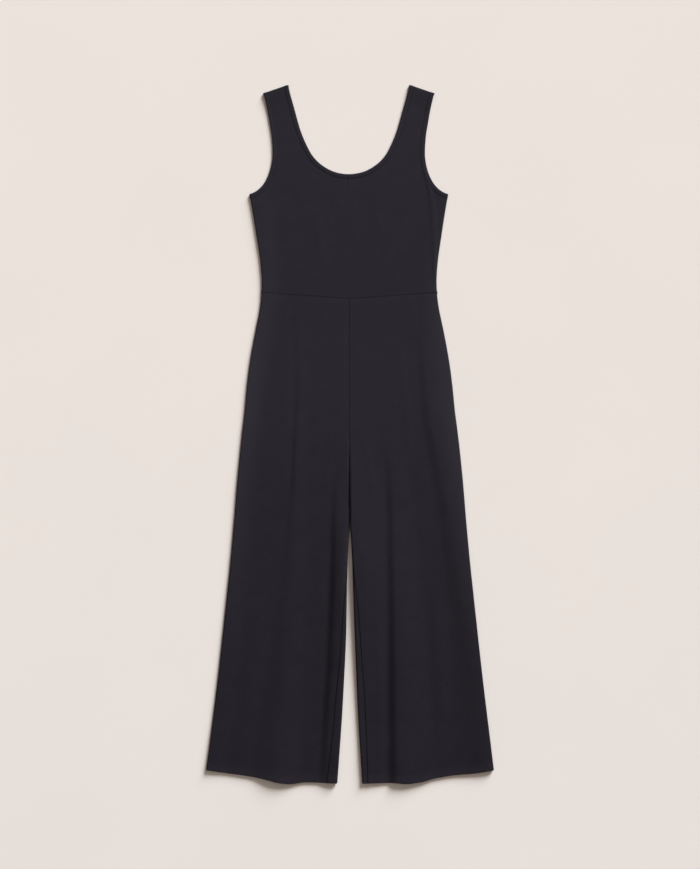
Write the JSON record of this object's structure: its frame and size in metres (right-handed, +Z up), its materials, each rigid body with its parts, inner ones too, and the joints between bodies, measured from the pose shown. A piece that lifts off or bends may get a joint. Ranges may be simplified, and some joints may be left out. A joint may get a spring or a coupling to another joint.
{
  "type": "sleeveless jersey jumpsuit laid flat",
  "caption": "Sleeveless jersey one-piece laid flat, with a scooped tank bodice, bound neck and armholes, a waist seam and wide cropped legs.",
  "frame": {"origin": "middle of the laid garment's outline, on the surface that it lies on", "axes": "+Y towards the neck, +X towards the wearer's left, +Z up off the surface, out of the front"},
  "size_m": [0.5752, 1.3964, 0.0093],
  "materials": {
    "jersey": "matte charcoal viscose jersey, fine knit",
    "binding": "the same jersey, folded and stitched as edge binding"
  },
  "bodies": {
    "root": {"front_bodice": "jersey", "back_bodice": "jersey", "front_leg_right": "jersey", "front_leg_left": "jersey", "back_leg_right": "jersey", "back_leg_left": "jersey", "neck_binding": "binding", "armhole_binding_right": "binding", "armhole_binding_left": "binding"}
  },
  "joints": []
}
